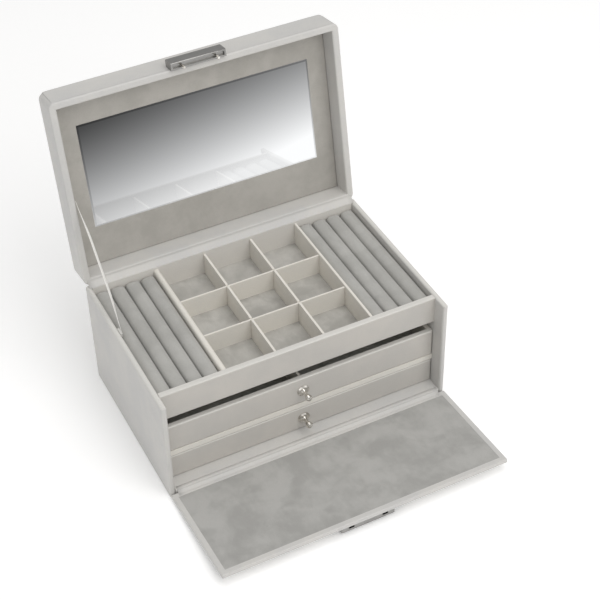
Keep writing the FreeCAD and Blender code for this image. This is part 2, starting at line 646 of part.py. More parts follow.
def lid_hinge_leaf(name, x, side):
    """One leaf on the outside of the back: side is -1 below the axis and 1 above it."""
    inner, outer = "( lid_knuckle_radius + knuckle_play )", "lid_leaf_height"
    lowest = ("0 - " + outer) if side < 0 else inner
    plate = block(name + "_plate", x + " - lid_leaf_width / 2", "0", lowest, "lid_leaf_width",
                  "lid_leaf_thick", outer + " - " + inner)
    third = "( lid_leaf_width / 3 )"
    if side < 0:
        starts = [x + " - lid_leaf_width / 2", x + " + lid_leaf_width / 2 - " + third + " + knuckle_play / 2"]
        length = third + " - knuckle_play / 2"
    else:
        starts = [x + " - " + third + " / 2 + knuckle_play / 2"]
        length = third + " - knuckle_play"
    pieces, bores = [plate], []
    for i, start in enumerate(starts):
        neck_low = ("0 - " + inner + " - 0.1") if side < 0 else "lid_knuckle_radius * 0.7"
        pieces.append(block("%s_neck_%d" % (name, i), start, "0", neck_low, length, "lid_leaf_thick",
                            inner + " + 0.1 - lid_knuckle_radius * 0.7"))
        pieces.append(rod("%s_barrel_%d" % (name, i), "x", start, "0", "0", "lid_knuckle_radius", length))
    bores.append(rod(name + "_bore", "x", x + " - lid_leaf_width", "0", "0", "lid_pin_radius + hinge_play",
                     "lid_leaf_width * 2"))
    return less(name, joined(name + "_solid", *pieces), *bores)


def leaf_screws(name, x, side):
    height = "lid_leaf_height * 0.62"
    screws = []
    for i, across in enumerate(("0 - lid_leaf_width / 3", "lid_leaf_width / 3")):
        z = height if side > 0 else "0 - " + height
        head = rod("%s_head_%d" % (name, i), "y", x + " + " + across, "lid_leaf_thick", z,
                   "leaf_screw_radius", "leaf_screw_thick")
        slot = block("%s_slot_%d" % (name, i), x + " + " + across + " - leaf_screw_radius",
                     "lid_leaf_thick + leaf_screw_thick / 2", z + " - keyhole_width / 4",
                     "leaf_screw_radius * 2", "leaf_screw_thick", "keyhole_width / 2")
        screws.append(less("%s_screw_%d" % (name, i), head, slot))
    return screws


def lid_hinges():
    at_axis = Placement(lid_place.Base, Rotation())
    case_leaves, lid_leaves, case_screws, lid_screws, pins = [], [], [], [], []
    for i, x in enumerate(lid_hinge_places()):
        case_leaves.append(lid_hinge_leaf("case_leaf_%d" % i, x, -1))
        lid_leaves.append(lid_hinge_leaf("lid_leaf_%d" % i, x, 1))
        case_screws += leaf_screws("case_leaf_screws_%d" % i, x, -1)
        lid_screws += leaf_screws("lid_leaf_screws_%d" % i, x, 1)
        pins.append(rod("lid_pin_%d" % i, "x", x + " - lid_leaf_width / 2", "0", "0", "lid_pin_radius",
                        "lid_leaf_width"))
    for label, shapes in (("lid_hinge_case_leaves", case_leaves), ("lid_hinge_case_screws", case_screws),
                          ("lid_hinge_pins", pins)):
        fixed = group(label, *shapes)
        fixed.Placement = at_axis
        keep(fixed, label)
    on_lid(group("lid_hinge_lid_leaves", *lid_leaves), "lid_hinge_lid_leaves")
    on_lid(group("lid_hinge_lid_screws", *lid_screws), "lid_hinge_lid_screws")


def strike():
    """The upper half of the lock: a bar on the front of the lid with two grooved studs under it."""
    low = "rim - strike_below_rim"
    bar = block("strike_blank", "0 - lock_width / 2", "0 - lid_depth - lock_proud", low, "lock_width",
                "lock_proud", "strike_height")
    front = value("0 - lid_depth - lock_proud")
    soft = rounded("strike_rounded", bar, "strike_round",
                   lambda middle, along: abs(middle.y - front) < 0.01 and abs(along.x) > 0.99)
    channel = block("strike_channel", "0 - lock_width / 2 + channel_wall",
                    "0 - lid_depth - lock_proud + channel_wall", low + " - 1",
                    "lock_width - 2 * channel_wall", "lock_proud - 2 * channel_wall", "channel_depth + 1")
    # Below the rim the bar stands clear of the shut flap's face.
    relief = block("strike_relief_block", "0 - lock_width / 2 - 1", "0 - lid_depth - strike_relief",
                   low + " - 1", "lock_width + 2", "strike_relief + 1", "strike_below_rim + 1")
    on_lid(less("strike_bar", less("strike_hollow", soft, channel), relief), "strike_bar")

    studs = []
    stud_y = "0 - lid_depth - slot_from_flap"
    for i, x in enumerate(slot_places()):
        tip = low + " - stud_reach"
        pin = rod("stud_%d" % i, "z", x, stud_y, tip, "stud_radius", "stud_reach + channel_depth")
        wide = rod("stud_waist_%d" % i, "z", x, stud_y, "waist_low", "stud_radius * 2", "waist_height")
        neck = rod("stud_neck_%d" % i, "z", x, stud_y, "waist_low - 1", "stud_neck_radius",
                   "waist_height + 2")
        studs.append(joined("strike_stud_%d" % i, less("stud_waisted_%d" % i, pin, wide), neck))
    on_lid(group("strike_studs", *studs), "strike_studs")


# The waist of each stud, level with the latch when the lid is shut.
known["waist_low"] = formula("( lock_top + flap_axis_z - lid_axis_z - latch_from_top - latch_thick"
                             " - latch_play )")
known["waist_height"] = formula("( latch_thick + 2 * latch_play )")

lid_shell()
lid_top_pad()
lid_lining()
lid_hinges()
strike()


# ---- handle, on the outside of the lid ----

known["handle_base"] = formula("( lid_top + lid_pad_thick + 2 * glue_line )")
known["handle_y"] = formula("( 0 - lid_depth / 2 - handle_forward )")
known["handle_pin_z"] = formula("( handle_base + handle_pin_height )")


def handle_strap():
    """A bow in the XZ plane, thicker in the middle, with a loop round a pin at each end."""
    half, pin_z = value("handle_span / 2"), value("handle_pin_z")
    apex = value("handle_base + handle_rise")
    mid, end = value("handle_thick / 2"), value("handle_end_thick / 2")
    y = value("handle_y - handle_width / 2")
    upper = [Vector(-half, y, pin_z + end), Vector(0, y, apex + mid), Vector(half, y, pin_z + end)]
    lower = [Vector(half, y, pin_z - end), Vector(0, y, apex - mid), Vector(-half, y, pin_z - end)]
    edges = [Part.Arc(*upper).toShape(), Part.makeLine(upper[2], lower[0]), Part.Arc(*lower).toShape(),
             Part.makeLine(lower[2], upper[0])]
    bow = doc.addObject("Part::Feature", "handle_bow")
    bow.Shape = Part.Face(Part.Wire(edges)).extrude(Vector(0, value("handle_width"), 0))
    loops, bores = [], []
    for i, x in enumerate(("0 - handle_span / 2", "handle_span / 2")):
        loops.append(rod("handle_loop_%d" % i, "y", x, "handle_y - handle_width / 2", "handle_pin_z",
                         "handle_loop_radius", "handle_width"))
        bores.append(rod("handle_bore_%d" % i, "y", x, "handle_y - handle_width", "handle_pin_z",
                         "handle_pin_radius + hinge_play", "handle_width * 2"))
    on_lid(less("handle_strap", joined("handle_looped", bow, *loops), *bores), "handle_strap")


def handle_brackets():
    brackets, pins = [], []
    ear_out = "( handle_width / 2 + bracket_play + bracket_thick )"
    for i, x in enumerate(("0 - handle_span / 2", "handle_span / 2")):
        foot = block("bracket_foot_%d" % i, x + " - bracket_foot_length / 2", "handle_y - " + ear_out,
                     "handle_base", "bracket_foot_length", "2 * " + ear_out, "bracket_foot_thick")
        pieces = [foot]
        for n, start in enumerate(("handle_y - " + ear_out, "handle_y + " + ear_out + " - bracket_thick")):
            pieces.append(block("bracket_ear_%d_%d" % (i, n), x + " - bracket_width / 2", start,
                                "handle_base", "bracket_width", "bracket_thick", "handle_pin_height"))
            pieces.append(rod("bracket_eye_%d_%d" % (i, n), "y", x, start, "handle_pin_z",
                              "bracket_width / 2", "bracket_thick"))
        bore = rod("bracket_bore_%d" % i, "y", x, "handle_y - handle_width", "handle_pin_z",
                   "handle_pin_radius", "handle_width * 2")
        brackets.append(less("handle_bracket_%d" % i, joined("bracket_solid_%d" % i, *pieces), bore))
        pins.append(rod("handle_pin_%d" % i, "y", x, "handle_y - " + ear_out, "handle_pin_z",
                        "handle_pin_radius", "2 * " + ear_out))
    on_lid(group("handle_brackets", *brackets), "handle_brackets")
    on_lid(group("handle_pins", *pins), "handle_pins")


handle_strap()
handle_brackets()


# ---- stay ribbon, from the left wall to the left side of the lid ----

def stay_ribbon():
    left = value("0 - inside_half + clip_thick")
    axis_y, axis_z = value("back_plane"), value("lid_axis_z")
    low = Vector(left, axis_y - value("ribbon_case_reach"), value("case_height - ribbon_case_drop"))
    high = lid_place.multVec(Vector(left, 0 - value("ribbon_lid_reach"), value("rim + ribbon_lid_depth")))
    run = high - low
    ribbon = doc.addObject("Part::Box", "stay_ribbon")
    ribbon.setExpression("Length", formula("ribbon_width"))
    ribbon.setExpression("Width", formula("ribbon_thick"))
    ribbon.Height = run.Length
    lean = math.degrees(math.atan2(-run.y, run.z))
    ribbon.Placement = Placement(low, Rotation(Vector(1, 0, 0), lean))
    keep(ribbon, "stay_ribbon")
    keep(block("ribbon_clip", "0 - inside_half", "back_plane - ribbon_case_reach - clip_width / 2",
               "case_height - roll_drop + seat_gap", "clip_thick", "clip_width",
               "roll_drop - seat_gap - clip_drop"), "ribbon_clip")


stay_ribbon()


# ---- check and write ----

doc.recompute()
for obj in doc.Objects:
    assert "Invalid" not in obj.State and "Error" not in obj.State, obj.Label
for obj in sub_parts:
    assert not obj.Shape.isNull() and obj.Shape.isValid() and obj.Shape.Solids, obj.Label
for obj in sub_parts:
    obj.Shape.exportStep("parts/%s.step" % obj.Label)

print("%d sub-parts" % len(sub_parts))
print("flap slope %.3f degrees" % floor_slope())
print("flap axis y %.3f z %.3f, lid axis y %.3f z %.3f" % (
    value("flap_axis_y"), value("flap_axis_z"), value("back_plane"), value("lid_axis_z")))
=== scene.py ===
import json
import math
import random

import bmesh
import bpy
from mathutils import Matrix, Vector, noise


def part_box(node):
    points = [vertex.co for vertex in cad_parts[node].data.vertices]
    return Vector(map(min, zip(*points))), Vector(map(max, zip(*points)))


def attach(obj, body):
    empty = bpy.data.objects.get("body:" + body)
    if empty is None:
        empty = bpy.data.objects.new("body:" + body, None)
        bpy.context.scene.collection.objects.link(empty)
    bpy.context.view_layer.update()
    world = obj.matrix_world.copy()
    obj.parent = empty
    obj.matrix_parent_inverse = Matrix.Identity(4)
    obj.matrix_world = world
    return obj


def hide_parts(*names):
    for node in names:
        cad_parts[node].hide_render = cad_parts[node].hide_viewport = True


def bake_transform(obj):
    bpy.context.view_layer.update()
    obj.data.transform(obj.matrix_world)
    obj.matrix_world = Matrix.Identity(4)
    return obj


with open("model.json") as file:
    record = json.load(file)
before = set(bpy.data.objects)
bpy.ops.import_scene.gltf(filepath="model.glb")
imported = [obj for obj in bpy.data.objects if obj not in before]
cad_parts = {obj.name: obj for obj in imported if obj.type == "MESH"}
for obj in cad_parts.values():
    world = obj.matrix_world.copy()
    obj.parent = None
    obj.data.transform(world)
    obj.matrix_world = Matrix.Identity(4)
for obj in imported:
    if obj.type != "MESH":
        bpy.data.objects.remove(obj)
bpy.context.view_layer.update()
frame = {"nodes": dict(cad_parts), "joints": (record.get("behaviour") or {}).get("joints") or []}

joints = {joint["name"]: joint for joint in frame["joints"]}
mm = 0.001                        # lengths in the pieces' plans are in mm
shuffle = random.Random(7)        # makes the rolls uneven, in the same way at every run
print("frame loaded,", len(frame["nodes"]), "parts")


# The lid's and the flap's pieces are worked on with the board level, from its hinge line.
def settingOf(jointName, turn):
    joint = joints[jointName]
    return Matrix.Translation(joint["pos_m"]) @ Matrix.Rotation(math.radians(turn), 4, "X")


lidPlace = settingOf("lid_hinge", joints["lid_hinge"]["range_deg"][0])
flapPlace = settingOf("flap_hinge", -90 - joints["flap_hinge"]["range_deg"][0])
standing = Matrix.Identity(4)


def boxIn(place, node):
    # lowest and highest corner of a part, seen in that setting
    back = place.inverted()
    points = [back @ vertex.co for vertex in frame["nodes"][node].data.vertices]
    lowest = Vector([min(point[i] for point in points) for i in range(3)])
    highest = Vector([max(point[i] for point in points) for i in range(3)])
    return lowest, highest


def steps(first, last, count):
    return [first + (last - first) * i / (count - 1) for i in range(count)]


def soften(share):
    share = min(1, max(0, share))
    return share * share * (3 - 2 * share)


# camera and light
cameraPlan = {
    "azimuth": -25.99, "elevation": 41.39, "roll": -1.40, "distance": 1.2474,
    "target": (-0.0082, -0.0890, 0.17835), "lens": 89.7, "sensor": 36, "reach": (0.05, 60),
}


def placeCamera(plan):
    azimuth, elevation = math.radians(plan["azimuth"]), math.radians(plan["elevation"])
    roll = math.radians(plan["roll"])
    back = Vector((math.sin(azimuth) * math.cos(elevation),
                   -math.cos(azimuth) * math.cos(elevation), math.sin(elevation)))
    across = (-back).cross(Vector((0, 0, 1))).normalized()
    upward = across.cross(-back).normalized()
    turnedAcross = across * math.cos(roll) + upward * math.sin(roll)
    turnedUp = upward * math.cos(roll) - across * math.sin(roll)
    camera = bpy.data.objects.new("camera", bpy.data.cameras.new("camera"))
    bpy.context.scene.collection.objects.link(camera)
    camera.data.lens = plan["lens"]
    camera.data.sensor_width = plan["sensor"]
    camera.data.clip_start, camera.data.clip_end = plan["reach"]
    turn = Matrix((turnedAcross, turnedUp, back)).transposed().to_4x4()
    place = Vector(plan["target"]) + back * plan["distance"]
    camera.matrix_world = Matrix.Translation(place) @ turn
    bpy.context.scene.camera = camera


studio = {
    "sky": ((1.0, 0.997, 0.99), 0.53),
    "lamps": {                    # place, aims at, size, watts, colour
        "keyLamp": ((0.5, -1.55, 1.9), (0, -0.05, 0.1), 1.6, 19, (1.0, 0.988, 0.972)),
        "topLamp": ((0.1, -0.15, 2.4), (0, 0, 0.1), 1.6, 14, (1.0, 1.0, 1.0)),
    },
}


def placeLamps(plan):
    world = bpy.data.worlds.new("studioSky")
    world.use_nodes = True
    backdrop = world.node_tree.nodes["Background"]
    backdrop.inputs["Color"].default_value = (*plan["sky"][0], 1)
    backdrop.inputs["Strength"].default_value = plan["sky"][1]
    bpy.context.scene.world = world
    for name, (place, aim, size, watts, colour) in plan["lamps"].items():
        lamp = bpy.data.objects.new(name, bpy.data.lights.new(name, "AREA"))
        lamp.data.size = size
        lamp.data.energy = watts
        lamp.data.color = colour
        bpy.context.scene.collection.objects.link(lamp)
        lamp.location = place
        lamp.rotation_euler = (Vector(place) - Vector(aim)).to_track_quat("Z", "Y").to_euler()


placeCamera(cameraPlan)
placeLamps(studio)
bpy.context.scene.view_settings.view_transform = "Standard"
print("camera and lamps placed")


# Shader values. Sums, products and powers of a Signal add Math nodes to its finish.
class Signal:
    def __init__(self, finish, socket):
        self.finish = finish
        self.socket = socket

    def joined(self, operation, first, second=0):
        made = self.finish.node("Math", {"operation": operation}, {0: first, 1: second})
        return Signal(self.finish, made.outputs[0])

    def __add__(self, other):
        return self.joined("ADD", self, other)

    def __sub__(self, other):
        return self.joined("SUBTRACT", self, other)

    def __mul__(self, other):
        return self.joined("MULTIPLY", self, other)

    def __pow__(self, other):
        return self.joined("POWER", self, other)

    def __radd__(self, other):
        return self.joined("ADD", other, self)

    def __rsub__(self, other):
        return self.joined("SUBTRACT", other, self)

    def __rmul__(self, other):
        return self.joined("MULTIPLY", other, self)

    def wave(self):               # swings between 0 and 1
        return self.joined("SINE", self) * 0.5 + 0.5

    def between(self, low, high):
        made = self.finish.node("MapRange", {"interpolation_type": "SMOOTHSTEP"},
                                {"Value": self, "From Min": low, "From Max": high})
        return Signal(self.finish, made.outputs[0])


class Finish:
    def __init__(self, name, **plain):
        self.material = bpy.data.materials.new(name)
        self.material.use_nodes = True
        self.tree = self.material.node_tree
        self.shader = self.tree.nodes["Principled BSDF"]
        for socket, setting in plain.items():
            self.shader.inputs[socket.replace("_", " ")].default_value = setting
        self.place = self.node("TexCoord").outputs["Object"]

    def node(self, kind, settings=None, inputs=None):
        made = self.tree.nodes.new("ShaderNode" + kind)
        for key, setting in (settings or {}).items():
            setattr(made, key, setting)
        for key, given in (inputs or {}).items():
            self.feed(made.inputs[key], given)
        return made

    def feed(self, socket, given):
        given = given.socket if isinstance(given, Signal) else given
        if isinstance(given, bpy.types.NodeSocket):
            self.tree.links.new(given, socket)
        else:
            socket.default_value = given

    def paint(self, **varied):
        for socket, given in varied.items():
            self.feed(self.shader.inputs[socket.replace("_", " ")], given)

    def stretched(self, by):
        return self.node("VectorMath", {"operation": "MULTIPLY"}, {0: self.place, 1: by}).outputs[0]

    def cloud(self, scale, detail=2, distortion=0, stretch=None):
        made = self.node("TexNoise", None, {
            "Vector": self.stretched(stretch) if stretch else self.place,
            "Scale": scale, "Detail": detail, "Distortion": distortion})
        return Signal(self, made.outputs[0])

    def cells(self, scale):
        made = self.node("TexVoronoi", {"feature": "DISTANCE_TO_EDGE"},
                         {"Vector": self.place, "Scale": scale})
        return Signal(self, made.outputs["Distance"])

    def mixed(self, share, first, second):
        made = self.node("Mix", {"data_type": "RGBA"}, {0: share, 6: first, 7: second})
        return made.outputs[2]

    def bump(self, height, strength, depth):
        made = self.node("Bump", None, {"Height": height, "Strength": strength, "Distance": depth})
        self.feed(self.shader.inputs["Normal"], made.outputs[0])

    def part(self, axis):
        return Signal(self, self.node("SeparateXYZ", None, {0: self.place}).outputs[axis])


def shade(red, green, blue):
    # a colour as read from a swatch, 0 to 255
    return (*[(c / 255 / 12.92) if c < 11 else ((c / 255 + 0.055) / 1.055) ** 2.4
              for c in (red, green, blue)], 1)


# In the plans below a cloud is its scale, detail, distortion and stretch, and a bump its strength
# and its depth in metres.
leatherPlan = {
    "gloss": {"Specular_IOR_Level": 0.42, "Sheen_Weight": 0.06, "Sheen_Roughness": 0.4,
              "Coat_Roughness": 0.42, "Coat_Weight": 0.12},
    "drift": (16, 3, 0.4), "lustre": (85, 2), "pebbles": 1050, "pores": (2300, 2),
    "creaseWidth": 0.16, "creaseShadeShare": 0.16, "driftShare": 0.75, "toneRange": (0.36, 0.64),
    "shine": {"panel": 0.44, "board": 0.48, "thread": 0.6}, "unevenShine": 0.10,
    "highlightFrom": 1.6, "highlightTo": 0.4, "highlightWander": 0.4, "highlightShare": 0.8,
    "relief": {"pebble": 0.65, "pores": 0.35, "drift": 0.3}, "bump": (0.34, 0.00009),
}


def leather(name, warm, cool, creaseShadeTone, use="panel", paintedTopHighlight=None):
    plan, relief = leatherPlan, leatherPlan["relief"]
    made = Finish(name, **plan["gloss"])
    drift = made.cloud(*plan["drift"])
    lustre = made.cloud(*plan["lustre"])
    pebble = made.cells(plan["pebbles"]).between(0, plan["creaseWidth"])
    pores = made.cloud(*plan["pores"])
    share = plan["driftShare"]
    clouds = drift * share + lustre * (1 - share)
    tone = made.mixed(clouds.between(*plan["toneRange"]), warm, cool)
    if paintedTopHighlight:                    # painted highlight: a top edge, paler where light catches it
        level, topHighlightTone = paintedTopHighlight
        wandering = made.part("Z") + lustre * (plan["highlightWander"] * mm)
        edge = wandering.between(level - plan["highlightFrom"] * mm, level - plan["highlightTo"] * mm)
        tone = made.mixed(edge * plan["highlightShare"], tone, topHighlightTone)
    uneven = plan["unevenShine"]
    # the creases between pebbles are darkened: partly the grain's own colour, partly painted shade
    # in the creases
    made.paint(Base_Color=made.mixed((1 - pebble) * plan["creaseShadeShare"], tone, creaseShadeTone),
               Roughness=plan["shine"][use] + drift * uneven + (1 - pebble) * uneven)
    height = pebble * relief["pebble"] + pores * relief["pores"] + drift * relief["drift"]
    made.bump(height, *plan["bump"])
    return made.material


velvetPlan = {
    "gloss": {"Sheen_Weight": 0.35, "Sheen_Roughness": 0.42, "Specular_IOR_Level": 0.12},
    "nap": (21, 3, 0.9), "drift": (58, 3, 0.5), "stroked": (190, 2, 0, (1, 0.45, 1)),
    "fibre": (1900, 2), "shares": {"nap": 0.52, "drift": 0.34, "stroked": 0.14},
    "toneRange": (0.38, 0.62),
    "fibreRange": (0.42, 0.7), "fibreTint": 0.22, "rough": 0.86, "unevenRough": 0.10,
    "relief": {"fibre": 0.7, "stroked": 0.5, "drift": 0.4}, "bump": (0.45, 0.00022),
}


def velvet(name, low, high, deep):
    plan, shares, relief = velvetPlan, velvetPlan["shares"], velvetPlan["relief"]
    made = Finish(name, **plan["gloss"])
    nap = made.cloud(*plan["nap"])
    drift = made.cloud(*plan["drift"])
    stroked = made.cloud(*plan["stroked"])
    fibre = made.cloud(*plan["fibre"])
    tone = nap * shares["nap"] + drift * shares["drift"] + stroked * shares["stroked"]
    tone = tone.between(*plan["toneRange"])
    fuzz = fibre.between(*plan["fibreRange"]) * plan["fibreTint"]
    made.paint(Base_Color=made.mixed(fuzz, made.mixed(tone, low, high), deep),
               Roughness=plan["rough"] + tone * plan["unevenRough"])
    height = fibre * relief["fibre"] + stroked * relief["stroked"] + drift * relief["drift"]
    made.bump(height, *plan["bump"])
    return made.material


metalGloss = {"Metallic": 1.0, "Specular_IOR_Level": 0.5}
polishPlan = {
    "wear": (160, 3), "scratch": (900, 2, 0, (1, 0.12, 1)), "wearRange": (0.35, 0.7),
    "rough": 0.10, "wearRough": 0.06, "scratchRough": 0.05, "bump": (0.12, 0.00002),
}
brushPlan = {
    "lines": (4200, 3, 0), "wear": (120, 2), "lineShare": 0.7, "toneRange": (0.3, 0.7),
    "rough": 0.25, "lineRough": 0.16, "bump": (0.30, 0.00003),
}


def polishedMetal(name, bright, dull):
    plan = polishPlan
    made = Finish(name, **metalGloss)
    wear = made.cloud(*plan["wear"])
    scratch = made.cloud(*plan["scratch"])
    made.paint(Base_Color=made.mixed(wear.between(*plan["wearRange"]), bright, dull),
               Roughness=plan["rough"] + wear * plan["wearRough"] + scratch * plan["scratchRough"])
    made.bump(scratch, *plan["bump"])
    return made.material


def brushedMetal(name, bright, dull, along):
    plan = brushPlan
    made = Finish(name, **metalGloss)
    lines = made.cloud(*plan["lines"], along)
    wear = made.cloud(*plan["wear"])
    tone = (lines * plan["lineShare"] + wear * (1 - plan["lineShare"])).between(*plan["toneRange"])
    made.paint(Base_Color=made.mixed(tone, dull, bright),
               Roughness=plan["rough"] + lines * plan["lineRough"])
    made.bump(lines, *plan["bump"])
    return made.material


# silvered glass with a painted reflection of a bright room: colour and glow are painted to brighten
# from its far left corner down to the right
paintedReflectionPlan = {
    "across": 0.28, "down": 0.60, "corner": 0.275, "power": 2.2, "bevelReflectionScale": 0.86, "glow": 0.8,
    "paintedReflection": (118, 119, 120), "paintedGlowTone": (252, 253, 254), "rough": 0.012, "haze": (30, 2),
    "hazeRough": 0.01,
}


def mirrorWithPaintedReflection(name, area, reflectionScale=1.0):
    plan = paintedReflectionPlan
    # the emission is a painted glow, part of the painted reflection
    made = Finish(name, **metalGloss, Emission_Strength=plan["glow"])
    low, high = area
    fall = (high.z - made.part("Z")) * (1 / (high.z - low.z))
    across = (made.part("X") - low.x) * (1 / (high.x - low.x))
    level = (across * plan["across"] + fall * plan["down"] + plan["corner"]) * reflectionScale
    paintedReflection = level ** plan["power"]
    dark = shade(0, 0, 0)
    made.paint(Base_Color=made.mixed(paintedReflection, dark, shade(*plan["paintedReflection"])),
               Emission_Color=made.mixed(paintedReflection, dark, shade(*plan["paintedGlowTone"])),
               Roughness=plan["rough"] + made.cloud(*plan["haze"]) * plan["hazeRough"])
    return made.material


weavePlan = {
    "gloss": {"Sheen_Weight": 0.4, "Sheen_Roughness": 0.35, "Specular_IOR_Level": 0.4},
    "threads": 9000, "speck": (1500, 2), "weaveShare": 0.6, "speckShare": 0.4, "rough": 0.52,
    "speckRough": 0.1, "weaveRelief": 0.8, "bump": (0.4, 0.00008),
}


def wovenRibbon(name, light, dark):
    plan = weavePlan
    made = Finish(name, **plan["gloss"])
    weave = ((made.part("Z") + made.part("Y")) * plan["threads"]).wave()
    speck = made.cloud(*plan["speck"])
    flecks = speck * plan["speckShare"]
    made.paint(Base_Color=made.mixed(weave * plan["weaveShare"] + flecks, dark, light),
               Roughness=plan["rough"] + speck * plan["speckRough"])
    made.bump(weave * plan["weaveRelief"] + flecks, *plan["bump"])
    return made.material


mirrorArea = boxIn(standing, "lid_mirror")
# tones of the painted highlight along the boards' top edges
pearlTopHighlight, innerTopHighlight = shade(218, 216, 211), shade(228, 224, 216)
pearl = (shade(207, 205, 201), shade(200, 199, 197), shade(172, 170, 165))
front = (shade(201, 197, 191), shade(194, 191, 186), shade(167, 164, 158))
# a lighter copy of the leather for the back panel: painted light on its inner face, which lies in
# shade inside the case
back = (shade(226, 223, 217), shade(220, 217, 212), shade(190, 187, 182))
# a lighter copy of the leather for the dividers, trays, partitions and shelf: painted light for the
# shade inside the case
inner = (shade(231, 227, 219), shade(225, 222, 215), shade(196, 193, 186))
thread = (shade(226, 223, 217), shade(216, 213, 208), shade(190, 187, 181))
finishes = {
    "pearl": leather("pearlLeather", *pearl),
    "roll": velvet("rollVelvet",
                   shade(171, 170, 166), shade(182, 181, 177), shade(138, 137, 133)),
    # the tray's velvet is a lighter copy: painted light for the shade in the cells
    "tray": velvet("trayVelvetPaintedLight",
                   shade(168, 166, 161), shade(192, 190, 185), shade(145, 143, 138)),
    "drawer": velvet("drawerVelvet",
                     shade(166, 165, 160), shade(188, 187, 183), shade(142, 141, 136)),
    # the flap's velvet is a darker copy: painted shade, making up for the light that falls on the
    # flap from above
    "flap": velvet("flapVelvetPaintedShade",
                   shade(162, 161, 158), shade(179, 178, 175), shade(144, 143, 140)),
    "lidVelvet": velvet("lidVelvet",
                        shade(173, 170, 164), shade(184, 181, 175), shade(147, 144, 138)),
    "nickel": polishedMetal("polishedNickel", shade(226, 223, 217), shade(186, 181, 173)),
    "brushed": brushedMetal("brushedNickel",
                            shade(164, 163, 161), shade(146, 145, 143), (0.03, 1, 1)),
    "steel": brushedMetal("hingeSteel",
                          shade(186, 186, 184), shade(150, 150, 148), (0.05, 1, 1)),
    "mirror": mirrorWithPaintedReflection("mirrorPaintedReflection", mirrorArea),
    "mirrorEdge": mirrorWithPaintedReflection("mirrorBevelPaintedReflection", mirrorArea, paintedReflectionPlan["bevelReflectionScale"]),
    "ribbon": wovenRibbon("ribbonWeave", shade(250, 249, 246), shade(228, 226, 221)),
    "thread": leather("strapThread", *thread, "thread"),
}
print("finishes mixed:", len(finishes))


# CAD parts that stay as they are: for each finish how far their edges are broken, in mm
wrapped = {
    "pearl": (0.5, ("base_board", "lid_shell", "ribbon_clip")),
    "tray": (0.25, ("tray_lining",)),
    "drawer": (0.25, ("lower_drawer_lining", "upper_drawer_lining")),
    "flap": (0.25, ("flap_lining",)),
    "lidVelvet": (0.6, ("lid_lining_panel",)),
    "nickel": (0.0, ("lower_drawer_knob", "upper_drawer_knob", "lock_cylinder", "lock_latch",
                     "strike_studs", "handle_brackets", "handle_pins")),
    "brushed": (0.15, ("lock_backplate", "lock_housing", "strike_bar")),
    "steel": (0.0, ("flap_hinge_knuckles", "flap_hinge_pins", "lid_hinge_case_leaves",
                    "lid_hinge_case_screws", "lid_hinge_lid_leaves", "lid_hinge_lid_screws",
                    "lid_hinge_pins", "lower_drawer_knob_screw", "upper_drawer_knob_screw")),
}
# boards whose top edge has a painted highlight, paler than their faces: leather tones, highlight
# tone, edge in mm, parts
boards = (
    (pearl, pearlTopHighlight, 0.5, ("left_wall", "right_wall")),
    (back, pearlTopHighlight, 0.5, ("back_panel",)),
    (front, pearlTopHighlight, 0.5, ("tray_front",)),
    (front, pearlTopHighlight, 0.0, ("lower_drawer_front", "upper_drawer_front")),
    (inner, innerTopHighlight, 0.35, ("left_partition", "right_partition", "left_long_divider",
                              "right_long_divider", "front_cross_divider", "back_cross_divider",
                              "drawer_shelf", "tray_floor", "lower_drawer_tray", "upper_drawer_tray",
                              "upper_drawer_divider")),
)
flapEdge = 0.15                   # the flap board's own broken edge, in mm
edgePlan = {"weld": 0.002, "segments": 3, "sharpFrom": 35}


def dress(node, finish, edge):
    part = frame["nodes"][node]
    part.data.materials.clear()
    part.data.materials.append(finish)
    if edge:
        weld = part.modifiers.new("weld", "WELD")
        weld.merge_threshold = edgePlan["weld"] * mm
        rounded = part.modifiers.new("edges", "BEVEL")
        rounded.width = edge * mm
        rounded.segments = edgePlan["segments"]
        rounded.limit_method = "ANGLE"
        rounded.angle_limit = math.radians(edgePlan["sharpFrom"])
        rounded.harden_normals = True


for finishName, (edge, names) in wrapped.items():
    for node in names:
        dress(node, finishes[finishName], edge)
dress("flap_board", finishes["pearl"], flapEdge)
levelled = {}                     # one leather for each set of tones and height of the top edge
for tones, topHighlightTone, edge, names in boards:
    for node in names:
        top = round(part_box(node)[1].z, 4)
        if (tones, top) not in levelled:
            levelled[tones, top] = leather("leather_" + node, *tones, "board", (top, topHighlightTone))
        dress(node, levelled[tones, top], edge)
print("CAD parts dressed")


def meshPiece(name, points, faces, finish, smooth=True):
    mesh = bpy.data.meshes.new(name)
    mesh.from_pydata([tuple(point) for point in points], [], faces)
    mesh.validate()
    mesh.materials.append(finish)
    piece = bpy.data.objects.new(name, mesh)
    bpy.context.scene.collection.objects.link(piece)
    mesh.polygons.foreach_set("use_smooth", [smooth] * len(mesh.polygons))
    return piece


def skin(rings):
    # faces over rings of equally many points, one ring after the other, and both ends closed
    count, total = len(rings[0]), len(rings)
    points = [point for ring in rings for point in ring]
    faces = []
    for r in range(total - 1):
        for i in range(count):
            here, there = r * count, (r + 1) * count
            faces.append((here + i, here + (i + 1) % count, there + (i + 1) % count, there + i))
    faces.append(tuple(reversed(range(count))))
    faces.append(tuple(range((total - 1) * count, total * count)))
    return points, faces


def circle(sides):
    return steps(0, 2 * math.pi, sides + 1)[:-1]


def outward(piece):
    bpy.context.view_layer.update()
    work = bmesh.new()
    work.from_mesh(piece.data)
    bmesh.ops.recalc_face_normals(work, faces=work.faces)
    work.to_mesh(piece.data)
    work.free()


